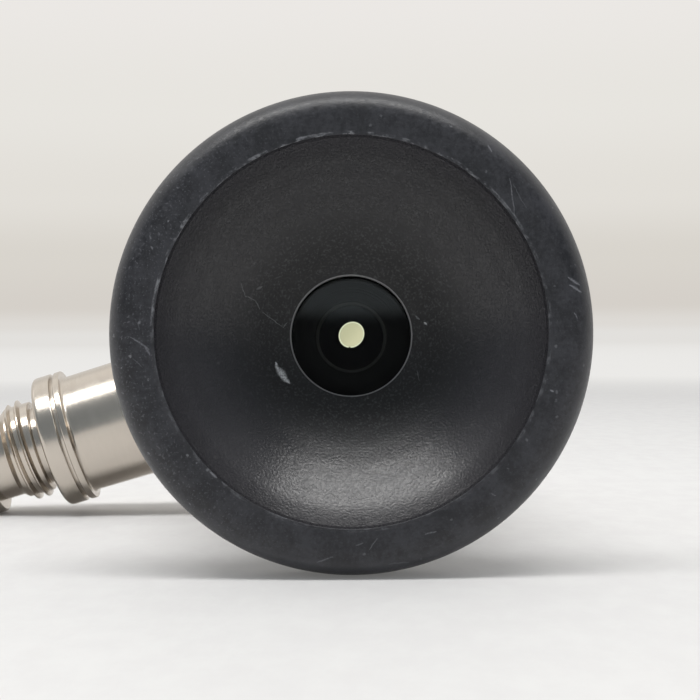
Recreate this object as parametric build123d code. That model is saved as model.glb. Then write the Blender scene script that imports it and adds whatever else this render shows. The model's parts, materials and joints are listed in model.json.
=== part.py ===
from build123d import *
import math
import os

# A rigid endoscope (a slim 30 degree telescope), built in its own local frame and then laid on a table.
# Local frame, millimetres: the optical axis is Y, station 0 is the front face of the eyecup's rim and
# stations grow towards the distal tip. The light post leaves the body along -X. A reach on the light
# post is a distance from the optical axis. The view looks out of the tip towards +X.

# Fits between turned pieces that are soldered, glued or screwed together
SLIDE = 0.02
CEMENT = 0.02

# Eyecup: the black cup that the eye or a camera coupler meets
RIM_DIAMETER = 31.75
RIM_WIDTH = 3.25
RIM_FRONT_ROUND = 1.8
RIM_BAND_END = 5.0
RIM_BACK_ROUND = 0.8
MOUTH_STEP_DEPTH = 0.3
MOUTH_STEP_WIDTH = 0.15
BOWL_DEPTH = 7.6
BOWL_RADIUS = 20.4
EYE_BORE_DIAMETER = 8.4
EYE_BORE_CHAMFER = 0.12
LIP_THICKNESS = 1.0
BACK_SLOPE = 45.0
NECK_FILLET = 3.0
NECK_WALL = 2.25
GASKET_THICKNESS = 0.6
GASKET_INSET = 0.4

# Ocular window, its cell and the ocular body that carries the eyecup
WINDOW_MARGIN = 0.8
WINDOW_THICKNESS = 1.3
WINDOW_RECESS = 0.1
WINDOW_CELL_WALL = 0.48
WINDOW_CELL_LENGTH = 2.0
WINDOW_LEDGE = 0.7
NOSE_WALL = 1.0
NOSE_SHOULDER = 1.6
NOSE_LENGTH = 3.8
SCREW_LENGTH = 6.0
FLANGE_LENGTH = 2.0

# Ocular optics inside the ocular body
OCULAR_SHOULDER = 0.63
OCULAR_CELL_WALL = 0.9
OCULAR_LIP_THICKNESS = 1.0
OCULAR_APERTURE = 4.6
OCULAR_APERTURE_CHAMFER = 0.25
CROWN_THICKNESS = 2.8
CROWN_EDGE = 1.6
FLINT_EDGE = 2.2
SPACER_LENGTH = 9.18
FIELD_STOP_THICKNESS = 0.3
FIELD_STOP_DIAMETER = 1.9
FIELD_NOTCH = 0.16
FIELD_NOTCH_ANGLE = 248.0
STOP_RING_LENGTH = 1.6
STOP_RING_WALL = 1.6
SPACER_WALL = 0.5
BUSH_LENGTH = 4.0

# Body housing with the boss for the light post
BODY_WALL = 2.0
CAVITY_STEP = 0.6
GRIP_LENGTH = 12.0
SPIGOT_BACK = 1.0
BODY_BEFORE_POST = 11.0
BODY_AFTER_BOSS = 3.1
BODY_CONE_LENGTH = 7.5
BODY_COLLAR_LENGTH = 1.0
BODY_END_DIAMETER = 13.6
CAVITY_BACK = 0.5
GRIP_GROOVE_COUNT = 3
GRIP_GROOVE_WIDTH = 0.8
GRIP_GROOVE_DEPTH = 0.35
GRIP_GROOVE_PITCH = 2.0
GRIP_GROOVE_INSET = 3.5
BOSS_WALL = 0.95
BOSS_PROUD = 1.98
BOSS_FILLET = 0.8
EDGE_ROUND = 0.3
SHOULDER_ROUND = 0.9

# Light post: barrel, screwed connector, ferrule and window
BARREL_DIAMETER = 10.9
BARREL_TAPER = 0.2
BARREL_LENGTH = 14.65
BARREL_RING_WIDTH = 0.6
BARREL_WALL = 1.25
BARREL_SPIGOT_WALL = 0.85
BARREL_SPIGOT_BACK = 0.38
SHANK_LENGTH = 6.15
SEAM_WIDTH = 0.3
SEAM_DEPTH = 0.45
COLLAR_STEP = 0.45
COLLAR_LENGTH = 1.7
COLLAR_ROUND = 0.45
THREAD_NECK_STEP = 1.05
THREAD_NECK_LENGTH = 0.9
THREAD_LENGTH = 1.7
THREAD_LEAD = 1.0
PILOT_STEP = 0.8
PILOT_LENGTH = 1.85
POST_RING_STEP = 1.695
POST_RING_LENGTH = 1.0
POST_RING_CHAMFER = 0.15
TIP_STEP = 0.72
TIP_WALL = 0.965
TIP_LENGTH = 6.6
TIP_GROOVE_WIDTH = 0.6
TIP_GROOVE_DEPTH = 0.35
TIP_CHAMFER = 0.4
FERRULE_INSET = 0.5
FERRULE_WALL = 0.6
LIGHT_WINDOW_THICKNESS = 0.8
LIGHT_WINDOW_MARGIN = 0.4
LIGHT_WINDOW_RECESS = 0.15

# Fibre bundle, from the light post into the shaft
BUNDLE_DIAMETER = 2.0
BUNDLE_BEND = 5.0
BUNDLE_SIDE_GAP = 0.5
FAN_MARGIN = 0.2
FAN_BACK = 2.0

# Sheath lock: the turned nose that a sheath or bridge latches onto
LOCK_DIAMETER = 10.6
LOCK_COLLAR_STEP = 0.3
LOCK_COLLAR_LENGTH = 2.6
LOCK_GROOVE_WIDTH = 1.5
LOCK_GROOVE_DEPTH = 0.45
LOCK_LAND_LENGTH = 5.1
LOCK_NOSE_LENGTH = 4.8
LOCK_NOSE_WALL = 0.6
LOCK_SPIGOT_DIAMETER = 9.0
LOCK_SPIGOT_LENGTH = 7.5
LOCK_HOLLOW_WALL = 0.6
LOCK_HOLLOW_BACK = 2.0
TUBE_GRIP = 8.0
INDEX_PIN_DIAMETER = 1.5
INDEX_PIN_PROUD = 1.0
INDEX_PIN_DEPTH = 1.6
INDEX_PIN_DOME = 0.3

# Shaft and its optics
WORKING_LENGTH = 302.0
SHAFT_DIAMETER = 4.0
SHAFT_WALL = 0.2
ROOT_STEP = 0.3
ROOT_PROUD = 1.2
ROOT_BEVEL = 0.3
FIBRE_LAYER = 0.3
INNER_WALL = 0.1
VIEW_ANGLE = 30.0
ROD_COUNT = 7
ROD_LENGTH = 38.0
ROD_DOME = 0.12
RELAY_INSET = 0.6
ROD_REST = 0.05
ROD_SPACER_WALL = 0.2
TIP_WINDOW_THICKNESS = 0.6
TIP_WINDOW_RECESS = 0.05
PRISM_LENGTH = 5.0
OBJECTIVE_LENS_LENGTH = 1.5
OBJECTIVE_GAP = 1.0
OBJECTIVE_LENGTH = 12.0

# Search for the roll at which the light post meets the table
STEEPEST_ROLL = 60.0
ROLL_HALVINGS = 60

# Radii and stations that follow from the sizes above, worked from the eye bore outwards
RIM_R = RIM_DIAMETER / 2
MOUTH_R = RIM_R - RIM_WIDTH
EYE_BORE_R = EYE_BORE_DIAMETER / 2
WINDOW_R = EYE_BORE_R + WINDOW_MARGIN
WINDOW_CELL_R = WINDOW_R + SLIDE + WINDOW_CELL_WALL
NOSE_R = WINDOW_CELL_R + SLIDE + NOSE_WALL
SOCKET_R = NOSE_R + NOSE_SHOULDER
NECK_R = SOCKET_R + SLIDE + NECK_WALL
OCULAR_CELL_R = WINDOW_CELL_R - OCULAR_SHOULDER
OCULAR_LENS_R = OCULAR_CELL_R - OCULAR_CELL_WALL - SLIDE
CAVITY_R = SOCKET_R - CAVITY_STEP
BODY_R = CAVITY_R + BODY_WALL
LIP_END = BOWL_DEPTH + LIP_THICKNESS
NOSE_START = LIP_END + GASKET_THICKNESS
SOCKET_START = NOSE_START + NOSE_LENGTH
NECK_END = SOCKET_START + SCREW_LENGTH
HOUSING_START = NECK_END + FLANGE_LENGTH
SHOULDER_END = HOUSING_START + GRIP_LENGTH
SPIGOT_END = SHOULDER_END - SPIGOT_BACK
WINDOW_CELL_END = NOSE_START + WINDOW_CELL_LENGTH
LENS_START = WINDOW_CELL_END + OCULAR_LIP_THICKNESS
FLINT_END = LENS_START + CROWN_EDGE + CEMENT + FLINT_EDGE
FIELD_STOP_STATION = FLINT_END + SPACER_LENGTH
STOP_END = FIELD_STOP_STATION + FIELD_STOP_THICKNESS
BUSH_START = STOP_END + STOP_RING_LENGTH
BUSH_END = BUSH_START + BUSH_LENGTH

BARREL_R = BARREL_DIAMETER / 2
BARREL_END_R = BARREL_R - BARREL_TAPER
SHANK_R = BARREL_END_R - BARREL_WALL
BARREL_SPIGOT_R = BARREL_R - BARREL_SPIGOT_WALL
BOSS_R = BARREL_R + BOSS_WALL
BOSS_REACH = BODY_R + BOSS_PROUD
BARREL_SPIGOT_START = CAVITY_R + BARREL_SPIGOT_BACK
BARREL_END = BOSS_REACH + BARREL_LENGTH
BARREL_SOCKET_START = BARREL_END - SHANK_LENGTH
COLLAR_R = BARREL_R + COLLAR_STEP
COLLAR_END = BARREL_END + SEAM_WIDTH + COLLAR_LENGTH
THREAD_START = COLLAR_END + THREAD_NECK_LENGTH
THREAD_END = THREAD_START + THREAD_LENGTH
PILOT_END = THREAD_END + THREAD_LEAD + PILOT_LENGTH
TIP_END = PILOT_END + TIP_LENGTH
BUNDLE_R = BUNDLE_DIAMETER / 2
FERRULE_R = BUNDLE_R + SLIDE + FERRULE_WALL
FERRULE_START = BOSS_REACH + FERRULE_INSET
LIGHT_WINDOW_R = FERRULE_R + LIGHT_WINDOW_MARGIN
LIGHT_WINDOW_END = TIP_END - LIGHT_WINDOW_RECESS
FERRULE_END = LIGHT_WINDOW_END - LIGHT_WINDOW_THICKNESS
TIP_R = LIGHT_WINDOW_R + SLIDE + TIP_WALL
PILOT_R = TIP_R + TIP_STEP
THREAD_R = PILOT_R + PILOT_STEP
POST_RING_R = TIP_R + POST_RING_STEP

POST_STATION = SHOULDER_END + BODY_BEFORE_POST
BODY_CONE_START = POST_STATION + BOSS_R + BODY_AFTER_BOSS
BODY_CONE_END = BODY_CONE_START + BODY_CONE_LENGTH
BODY_END = BODY_CONE_END + BODY_COLLAR_LENGTH
CAVITY_END = BODY_CONE_START - CAVITY_BACK

SHAFT_R = SHAFT_DIAMETER / 2
SHAFT_BORE_R = SHAFT_R - SHAFT_WALL
ROOT_R = SHAFT_R + ROOT_STEP
INNER_TUBE_R = SHAFT_BORE_R - FIBRE_LAYER
INNER_BORE_R = INNER_TUBE_R - INNER_WALL
ROD_R = INNER_BORE_R - SLIDE
TIP = BODY_END + WORKING_LENGTH
RELAY_START = BUSH_START + RELAY_INSET
RELAY_END = TIP - OBJECTIVE_LENGTH
ROD_GAP = (RELAY_END - RELAY_START - ROD_COUNT * ROD_LENGTH) / (ROD_COUNT - 1)
LOCK_R = LOCK_DIAMETER / 2
LOCK_COLLAR_R = LOCK_R + LOCK_COLLAR_STEP
LOCK_GROOVE_R = LOCK_R - LOCK_GROOVE_DEPTH
LOCK_SPIGOT_R = LOCK_SPIGOT_DIAMETER / 2
LOCK_SPIGOT_START = BODY_END - LOCK_SPIGOT_LENGTH
LOCK_HOLLOW_END = BODY_END - LOCK_HOLLOW_BACK
LOCK_COLLAR_END = BODY_END + LOCK_COLLAR_LENGTH
LOCK_GROOVE_END = LOCK_COLLAR_END + LOCK_GROOVE_WIDTH
LOCK_LAND_END = LOCK_GROOVE_END + LOCK_LAND_LENGTH
LOCK_NOSE_END = LOCK_LAND_END + LOCK_NOSE_LENGTH
TUBE_SEAT = LOCK_NOSE_END - TUBE_GRIP
ROOT_END = LOCK_NOSE_END + ROOT_PROUD
INDEX_PIN_STATION = BODY_END + LOCK_COLLAR_LENGTH / 2
BUNDLE_SIDE = INNER_TUBE_R + BUNDLE_SIDE_GAP + BUNDLE_R
FAN_START = POST_STATION + BUNDLE_BEND
FAN_END = LOCK_HOLLOW_END - FAN_BACK


def turned(outline, rounds=()):
    """A solid of revolution about Y. The outline is (radius, station) points, rounds (point, radius)."""
    face = make_face(Polyline(*outline, close=True))
    for point, radius in rounds:
        corner = face.vertices().sort_by_distance((*point, 0))[0]
        face = fillet(corner, radius)
    return revolve(face, axis=Axis.Y)


def sleeve(outer, inner, start, end):
    """A plain tube about Y between two stations."""
    return turned([(inner, start), (outer, start), (outer, end), (inner, end)])


def plug(radius, start, end):
    """A plain cylinder about Y between two stations."""
    return turned([(0, start), (radius, start), (radius, end), (0, end)])


def on_post(piece):
    """Carries a piece turned about Y, with its stations as reaches, onto the light post's axis."""
    return Pos(0, POST_STATION, 0) * Rot(Z=90) * piece


def lens_face(radius, station, dome):
    """Half the outline of a lens face: an arc centred on the axis, whose middle stands off by the dome."""
    if not dome:
        return Line((0, station), (radius, station))
    ball = (radius**2 + dome**2) / (2 * dome)
    half = math.asin(radius / abs(ball)) / 2
    centre = station + dome - ball
    middle = (abs(ball) * math.sin(half), centre + ball * math.cos(half))
    return ThreePointArc((0, station + dome), middle, (radius, station))


def lens(radius, start, end, front_dome=0.0, back_dome=0.0):
    """A lens about Y. A dome is how far its middle stands past the edge, or below it when negative."""
    outline = [
        lens_face(radius, start, -front_dome),
        Line((radius, start), (radius, end)),
        lens_face(radius, end, back_dome),
        Line((0, end + back_dome), (0, start - front_dome)),
    ]
    return revolve(make_face(outline), axis=Axis.Y)


def beyond_tip(setback=0.0):
    """Everything past the slanted tip plane, or past a plane parallel to it and set back."""
    lean = math.radians(VIEW_ANGLE)
    plane = Plane(
        origin=(0, TIP, 0),
        x_dir=(0, 0, 1),
        z_dir=(math.sin(lean), math.cos(lean), 0),
    )
    side = 10 * SHAFT_DIAMETER
    block = Box(side, side, side, align=(Align.CENTER, Align.CENTER, Align.MIN))
    return plane * Pos(0, 0, -setback) * block


def eyecup():
    """Black cup: rounded rim, concave bowl down to the eye bore, and a screwed neck behind."""
    cone_end = RIM_BAND_END + (RIM_R - NECK_R) / math.tan(math.radians(BACK_SLOPE))
    outline = [
        (0, 0),
        (RIM_R, 0),
        (RIM_R, RIM_BAND_END),
        (NECK_R, cone_end),
        (NECK_R, NECK_END),
        (0, NECK_END),
    ]
    rounds = [
        ((RIM_R, 0), RIM_FRONT_ROUND),
        ((RIM_R, RIM_BAND_END), RIM_BACK_ROUND),
        ((NECK_R, cone_end), NECK_FILLET),
    ]
    cup = turned(outline, rounds)
    bore_top = EYE_BORE_R + EYE_BORE_CHAMFER
    bowl = [
        Line((0, 0), (MOUTH_R + MOUTH_STEP_WIDTH, 0)),
        Line((MOUTH_R + MOUTH_STEP_WIDTH, 0), (MOUTH_R, MOUTH_STEP_DEPTH)),
        RadiusArc((MOUTH_R, MOUTH_STEP_DEPTH), (bore_top, BOWL_DEPTH), -BOWL_RADIUS),
        Line((bore_top, BOWL_DEPTH), (EYE_BORE_R, BOWL_DEPTH + EYE_BORE_CHAMFER)),
        Line((EYE_BORE_R, BOWL_DEPTH + EYE_BORE_CHAMFER), (EYE_BORE_R, LIP_END)),
        Line((EYE_BORE_R, LIP_END), (0, LIP_END)),
        Line((0, LIP_END), (0, 0)),
    ]
    cup -= revolve(make_face(bowl), axis=Axis.Y)
    cup -= plug(NOSE_R + SLIDE, LIP_END, SOCKET_START)
    cup -= plug(SOCKET_R + SLIDE, SOCKET_START, NECK_END)
    return cup


def eyecup_gasket():
    """Flat seal between the eyecup's lip and the ocular body."""
    return sleeve(NOSE_R - GASKET_INSET, EYE_BORE_R + GASKET_INSET, LIP_END, NOSE_START)


def ocular_body():
    """Steel tube that the eyecup and the housing screw onto; its flange shows between them."""
    bore = OCULAR_CELL_R + SLIDE
    outline = [
        (bore, NOSE_START),
        (NOSE_R, NOSE_START),
        (NOSE_R, SOCKET_START),
        (SOCKET_R, SOCKET_START),
        (SOCKET_R, NECK_END),
        (NECK_R, NECK_END),
        (NECK_R, HOUSING_START),
        (SOCKET_R, HOUSING_START),
        (SOCKET_R, SPIGOT_END),
        (bore, SPIGOT_END),
    ]
    rounds = [
        ((NECK_R, NECK_END), EDGE_ROUND),
        ((NECK_R, HOUSING_START), EDGE_ROUND),
    ]
    body = turned(outline, rounds)
    return body - plug(WINDOW_CELL_R + SLIDE, NOSE_START, WINDOW_CELL_END)


def window_cell():
    """Ring that the ocular window is soldered into."""
    ring = sleeve(WINDOW_CELL_R, WINDOW_R - WINDOW_LEDGE, NOSE_START, WINDOW_CELL_END)
    seat_end = NOSE_START + WINDOW_RECESS + WINDOW_THICKNESS
    return ring - plug(WINDOW_R + SLIDE, NOSE_START, seat_end)


def ocular_window():
    """Flat glass that closes the eyepiece."""
    start = NOSE_START + WINDOW_RECESS
    return plug(WINDOW_R, start, start + WINDOW_THICKNESS)


def ocular_cell():
    """Black tube of the ocular lenses; its front lip is the inner ring seen through the window."""
    aperture = OCULAR_APERTURE / 2
    lip = aperture + OCULAR_APERTURE_CHAMFER
    bore = OCULAR_LENS_R + SLIDE
    outline = [
        (lip, WINDOW_CELL_END),
        (OCULAR_CELL_R, WINDOW_CELL_END),
        (OCULAR_CELL_R, BUSH_END),
        (bore, BUSH_END),
        (bore, LENS_START),
        (aperture, LENS_START),
        (aperture, WINDOW_CELL_END + OCULAR_APERTURE_CHAMFER),
    ]
    return turned(outline)


def ocular_crown():
    """Front lens of the cemented ocular doublet."""
    end = LENS_START + CROWN_EDGE
    return lens(OCULAR_LENS_R, LENS_START, end, back_dome=CROWN_THICKNESS - CROWN_EDGE)


def ocular_flint():
    """Rear lens of the doublet, hollowed to take the crown's dome."""
    dome = CROWN_THICKNESS - CROWN_EDGE
    start = LENS_START + CROWN_EDGE + CEMENT
    return lens(OCULAR_LENS_R, start, start + FLINT_EDGE, front_dome=-dome)


def ocular_spacer():
    """Tube between the doublet and the field stop."""
    return sleeve(OCULAR_LENS_R, OCULAR_LENS_R - SPACER_WALL, FLINT_END, FIELD_STOP_STATION)


def field_stop():
    """Thin disc with the round field hole and a small pointer tooth that marks the direction of view."""
    hole = FIELD_STOP_DIAMETER / 2
    stop = sleeve(OCULAR_LENS_R, hole, FIELD_STOP_STATION, STOP_END)
    root = hole + FIELD_NOTCH / 2
    tooth = make_face(Polyline((root, -FIELD_NOTCH), (root, FIELD_NOTCH), (hole - FIELD_NOTCH, 0), close=True))
    tooth = extrude(Plane.XZ * Rot(Z=FIELD_NOTCH_ANGLE) * tooth, -FIELD_STOP_THICKNESS)
    return stop + Pos(0, FIELD_STOP_STATION, 0) * tooth


def stop_ring():
    """Threaded ring that holds the field stop and the lenses in their cell."""
    return sleeve(OCULAR_LENS_R, OCULAR_LENS_R - STOP_RING_WALL, STOP_END, BUSH_START)


def tube_bush():
    """Bush that centres the rear end of the optical tube."""
    return sleeve(OCULAR_LENS_R, INNER_TUBE_R + SLIDE, BUSH_START, BUSH_END)


def main_housing():
    """Hollow steel body, turned in one with the boss that the light post is brazed to."""
    outline = [
        (0, HOUSING_START),
        (NECK_R, HOUSING_START),
        (NECK_R, SHOULDER_END - (NECK_R - BODY_R)),
        (BODY_R, SHOULDER_END),
        (BODY_R, BODY_CONE_START),
        (BODY_END_DIAMETER / 2, BODY_CONE_END),
        (BODY_END_DIAMETER / 2, BODY_END),
        (0, BODY_END),
    ]
    rounds = [
        ((NECK_R, HOUSING_START), EDGE_ROUND),
        ((BODY_R, BODY_CONE_START), SHOULDER_ROUND),
        ((BODY_END_DIAMETER / 2, BODY_END), EDGE_ROUND),
    ]
    body = turned(outline, rounds)
    body += on_post(plug(BOSS_R, 0, BOSS_REACH))
    root = body.edges().filter_by(lambda e: on_boss_root(e))
    body = fillet(root, BOSS_FILLET)
    top = body.edges().filter_by(lambda e: on_boss_top(e))
    body = fillet(top, EDGE_ROUND)
    for groove in range(GRIP_GROOVE_COUNT):
        start = HOUSING_START + GRIP_GROOVE_INSET + groove * GRIP_GROOVE_PITCH
        bottom = NECK_R - GRIP_GROOVE_DEPTH
        outer = NECK_R + GRIP_GROOVE_DEPTH
        body -= sleeve(outer, bottom, start, start + GRIP_GROOVE_WIDTH)
    body -= plug(SOCKET_R + SLIDE, HOUSING_START, SPIGOT_END)
    body -= plug(CAVITY_R, SPIGOT_END, CAVITY_END)
    body -= plug(LOCK_SPIGOT_R + SLIDE, CAVITY_END, BODY_END)
    body -= on_post(plug(BARREL_SPIGOT_R + SLIDE, 0, BOSS_REACH))
    return body


def on_boss_root(edge):
    """Whether an edge is part of the curve where the boss meets the body."""
    box = edge.bounding_box()
    flat = abs(box.max.X - box.min.X) < SLIDE
    near = abs(box.center().Y - POST_STATION) < BOSS_R and box.max.X < -CAVITY_R / 2
    return near and not flat


def on_boss_top(edge):
    """Whether an edge is the rim of the boss's flat top."""
    box = edge.bounding_box()
    return abs(box.max.X + BOSS_REACH) < SLIDE and abs(box.min.X + BOSS_REACH) < SLIDE


def post_barrel():
    """Barrel of the light post, brazed to the boss, with a ring at its screwed end."""
    bundle_way = FERRULE_R + SLIDE
    neck = (BARREL_END_R, BARREL_END - BARREL_RING_WIDTH)
    outline = [
        (bundle_way, BARREL_SPIGOT_START),
        (BARREL_SPIGOT_R, BARREL_SPIGOT_START),
        (BARREL_SPIGOT_R, BOSS_REACH),
        (BARREL_R, BOSS_REACH),
        neck,
        (COLLAR_R, BARREL_END - BARREL_RING_WIDTH),
        (COLLAR_R, BARREL_END),
        (SHANK_R + SLIDE, BARREL_END),
        (SHANK_R + SLIDE, BARREL_SOCKET_START),
        (bundle_way, BARREL_SOCKET_START),
    ]
    rounds = [
        (neck, EDGE_ROUND),
        ((COLLAR_R, BARREL_END), EDGE_ROUND / 2),
    ]
    return on_post(turned(outline, rounds))


def post_connector():
    """Screwed connector: collar, neck, threaded part, latch groove and tip, bored for the ferrule."""
    bore = FERRULE_R + SLIDE
    collar_start = BARREL_END + SEAM_WIDTH
    groove_start = PILOT_END + POST_RING_LENGTH
    groove_end = groove_start + TIP_GROOVE_WIDTH
    outline = [
        (bore, BARREL_SOCKET_START),
        (SHANK_R, BARREL_SOCKET_START),
        (SHANK_R, BARREL_END),
        (COLLAR_R - SEAM_DEPTH, BARREL_END),
        (COLLAR_R - SEAM_DEPTH, collar_start),
        (COLLAR_R, collar_start),
        (COLLAR_R, COLLAR_END),
        (THREAD_R - THREAD_NECK_STEP, COLLAR_END),
        (THREAD_R - THREAD_NECK_STEP, THREAD_START),
        (THREAD_R, THREAD_START),
        (THREAD_R, THREAD_END),
        (PILOT_R, THREAD_END + THREAD_LEAD),
        (PILOT_R, PILOT_END),
        (TIP_R, PILOT_END),
        (TIP_R, groove_start),
        (TIP_R - TIP_GROOVE_DEPTH, groove_start),
        (TIP_R - TIP_GROOVE_DEPTH, groove_end),
        (TIP_R, groove_end),
        (TIP_R, TIP_END - TIP_CHAMFER),
        (TIP_R - TIP_CHAMFER, TIP_END),
        (bore, TIP_END),
    ]
    rounds = [
        ((COLLAR_R, collar_start), EDGE_ROUND / 2),
        ((COLLAR_R, COLLAR_END), COLLAR_ROUND),
    ]
    body = turned(outline, rounds)
    return on_post(body - plug(LIGHT_WINDOW_R + SLIDE, FERRULE_END, TIP_END))


def post_ring():
    """Ring screwed onto the tip of the light post; the post rests on its edge."""
    end = PILOT_END + POST_RING_LENGTH
    outline = [
        (TIP_R + SLIDE, PILOT_END),
        (POST_RING_R - POST_RING_CHAMFER, PILOT_END),
        (POST_RING_R, PILOT_END + POST_RING_CHAMFER),
        (POST_RING_R, end - POST_RING_CHAMFER),
        (POST_RING_R - POST_RING_CHAMFER, end),
        (TIP_R + SLIDE, end),
    ]
    return on_post(turned(outline))


def light_ferrule():
    """Tube that the fibre bundle is glued into, ground flat with it."""
    return on_post(sleeve(FERRULE_R, BUNDLE_R + SLIDE, FERRULE_START, FERRULE_END))


def light_window():
    """Glass disc that seals the end of the light post."""
    return on_post(plug(LIGHT_WINDOW_R, FERRULE_END, LIGHT_WINDOW_END))


def light_fibres():
    """Fibre bundle: down the post, round the bend, then fanned out round the optical tube to the tip."""
    bend_x = -(BUNDLE_SIDE + BUNDLE_BEND)
    straight = Line((-FERRULE_END, POST_STATION), (bend_x, POST_STATION))
    bend = TangentArc((bend_x, POST_STATION), (-BUNDLE_SIDE, FAN_START), tangent=(1, 0))
    start = Plane(origin=(-FERRULE_END, POST_STATION, 0), z_dir=(1, 0, 0))
    bundle = sweep(start * Circle(BUNDLE_R), path=straight + bend)
    layer_inner = INNER_TUBE_R + SLIDE
    layer_outer = SHAFT_BORE_R - SLIDE
    fan_reach = BUNDLE_SIDE + BUNDLE_R + FAN_MARGIN
    outline = [
        (layer_inner, FAN_START),
        (fan_reach, FAN_START),
        (layer_outer, FAN_END),
        (layer_outer, TIP + SHAFT_DIAMETER),
        (layer_inner, TIP + SHAFT_DIAMETER),
    ]
    return bundle + turned(outline) - beyond_tip()


def sheath_lock():
    """Turned nose with the latch groove that a sheath locks onto; it carries the shaft."""
    nose_r = ROOT_R + SLIDE + LOCK_NOSE_WALL
    outline = [
        (0, LOCK_SPIGOT_START),
        (LOCK_SPIGOT_R, LOCK_SPIGOT_START),
        (LOCK_SPIGOT_R, BODY_END),
        (LOCK_COLLAR_R, BODY_END),
        (LOCK_COLLAR_R, LOCK_COLLAR_END),
        (LOCK_GROOVE_R, LOCK_COLLAR_END),
        (LOCK_GROOVE_R, LOCK_GROOVE_END),
        (LOCK_R, LOCK_GROOVE_END),
        (LOCK_R, LOCK_LAND_END),
        (nose_r, LOCK_NOSE_END),
        (0, LOCK_NOSE_END),
    ]
    rounds = [
        ((LOCK_COLLAR_R, LOCK_COLLAR_END), EDGE_ROUND),
        ((LOCK_R, LOCK_GROOVE_END), EDGE_ROUND),
        ((LOCK_R, LOCK_LAND_END), SHOULDER_ROUND),
    ]
    lock = turned(outline, rounds)
    hollow = [
        (0, LOCK_SPIGOT_START),
        (LOCK_SPIGOT_R - LOCK_HOLLOW_WALL, LOCK_SPIGOT_START),
        (SHAFT_BORE_R, LOCK_HOLLOW_END),
        (SHAFT_BORE_R, TUBE_SEAT),
        (ROOT_R + SLIDE, TUBE_SEAT),
        (ROOT_R + SLIDE, LOCK_NOSE_END),
        (0, LOCK_NOSE_END),
    ]
    lock -= turned(hollow)
    return lock - index_peg(LOCK_COLLAR_R - INDEX_PIN_DEPTH, INDEX_PIN_DIAMETER / 2 + SLIDE)


def index_peg(start, radius):
    """The index pin's outline at a radius, standing out of the lock's collar in line with the light post."""
    peg = plug(radius, start, LOCK_COLLAR_R + INDEX_PIN_PROUD)
    return Pos(0, INDEX_PIN_STATION, 0) * Rot(Z=90) * peg


def index_pin():
    """Small pressed pin that sets the turn of a sheath on the lock."""
    pin = index_peg(LOCK_COLLAR_R - INDEX_PIN_DEPTH, INDEX_PIN_DIAMETER / 2)
    crown = pin.edges().sort_by(Axis.X)[0]
    return fillet(crown, INDEX_PIN_DOME)


def outer_tube():
    """Steel shaft tube, thicker at its root in the lock, ground off at the angle of view."""
    outline = [
        (SHAFT_BORE_R, TUBE_SEAT),
        (ROOT_R, TUBE_SEAT),
        (ROOT_R, ROOT_END - ROOT_BEVEL),
        (SHAFT_R, ROOT_END),
        (SHAFT_R, TIP + SHAFT_DIAMETER),
        (SHAFT_BORE_R, TIP + SHAFT_DIAMETER),
    ]
    return turned(outline) - beyond_tip()


def inner_tube():
    """Thin optical tube that holds the rod lenses and the objective."""
    return sleeve(INNER_TUBE_R, INNER_BORE_R, BUSH_START, TIP + SHAFT_DIAMETER) - beyond_tip()


def rod_start(index):
    """Station where a rod lens begins."""
    return RELAY_START + index * (ROD_LENGTH + ROD_GAP)


def rod_lens(index):
    """Glass rod with two domed ends, one of the relay."""
    start = rod_start(index) + ROD_DOME
    return lens(ROD_R, start, start + ROD_LENGTH - 2 * ROD_DOME, ROD_DOME, ROD_DOME)


def rod_spacer(index):
    """Thin tube that keeps one rod lens off the next."""
    start = rod_start(index) + ROD_LENGTH + ROD_REST
    return sleeve(ROD_R, ROD_R - ROD_SPACER_WALL, start, start + ROD_GAP - 2 * ROD_REST)


def tip_window():
    """Front glass, a parallel plate as slanted as the tip."""
    back = TIP_WINDOW_RECESS + TIP_WINDOW_THICKNESS
    blank = plug(ROD_R, TIP - SHAFT_DIAMETER, TIP + SHAFT_DIAMETER)
    return blank - beyond_tip(TIP_WINDOW_RECESS) & beyond_tip(back)


def prism():
    """Prism block that turns the view by the view angle."""
    setback = TIP_WINDOW_RECESS + TIP_WINDOW_THICKNESS + CEMENT
    return plug(ROD_R, TIP - PRISM_LENGTH, TIP + SHAFT_DIAMETER) - beyond_tip(setback)


def objective_front():
    """Front lens of the objective, cemented behind the prism."""
    end = TIP - PRISM_LENGTH - CEMENT
    return lens(ROD_R, end - OBJECTIVE_LENS_LENGTH, end, front_dome=ROD_DOME)


def objective_rear():
    """Rear lens of the objective."""
    end = TIP - PRISM_LENGTH - CEMENT - OBJECTIVE_LENS_LENGTH - OBJECTIVE_GAP
    return lens(ROD_R, end - OBJECTIVE_LENS_LENGTH, end, ROD_DOME, ROD_DOME)


def objective_spacer():
    """Ring between the two objective lenses."""
    end = TIP - PRISM_LENGTH - CEMENT - OBJECTIVE_LENS_LENGTH - ROD_DOME
    start = end + ROD_DOME - OBJECTIVE_GAP + ROD_DOME
    return sleeve(ROD_R, ROD_R - ROD_SPACER_WALL, start, end)


def relay_spacer():
    """Tube between the last rod lens and the objective."""
    end = TIP - PRISM_LENGTH - CEMENT - 2 * OBJECTIVE_LENS_LENGTH - OBJECTIVE_GAP
    return sleeve(ROD_R, ROD_R - ROD_SPACER_WALL, RELAY_END + ROD_REST, end - ROD_DOME)


def pitch_at_rest():
    """Angle, in radians, that the axis falls by towards the tip, with the rim and the tip on the table."""
    rise = RIM_R - RIM_BACK_ROUND - SHAFT_R
    span = math.hypot(TIP - RIM_BAND_END, rise)
    return math.atan2(rise, TIP - RIM_BAND_END) + math.asin(RIM_BACK_ROUND / span)


PITCH = pitch_at_rest()
AXIS_HEIGHT = (
    RIM_BAND_END * math.sin(PITCH)
    + (RIM_R - RIM_BACK_ROUND) * math.cos(PITCH)
    + RIM_BACK_ROUND
)


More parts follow.
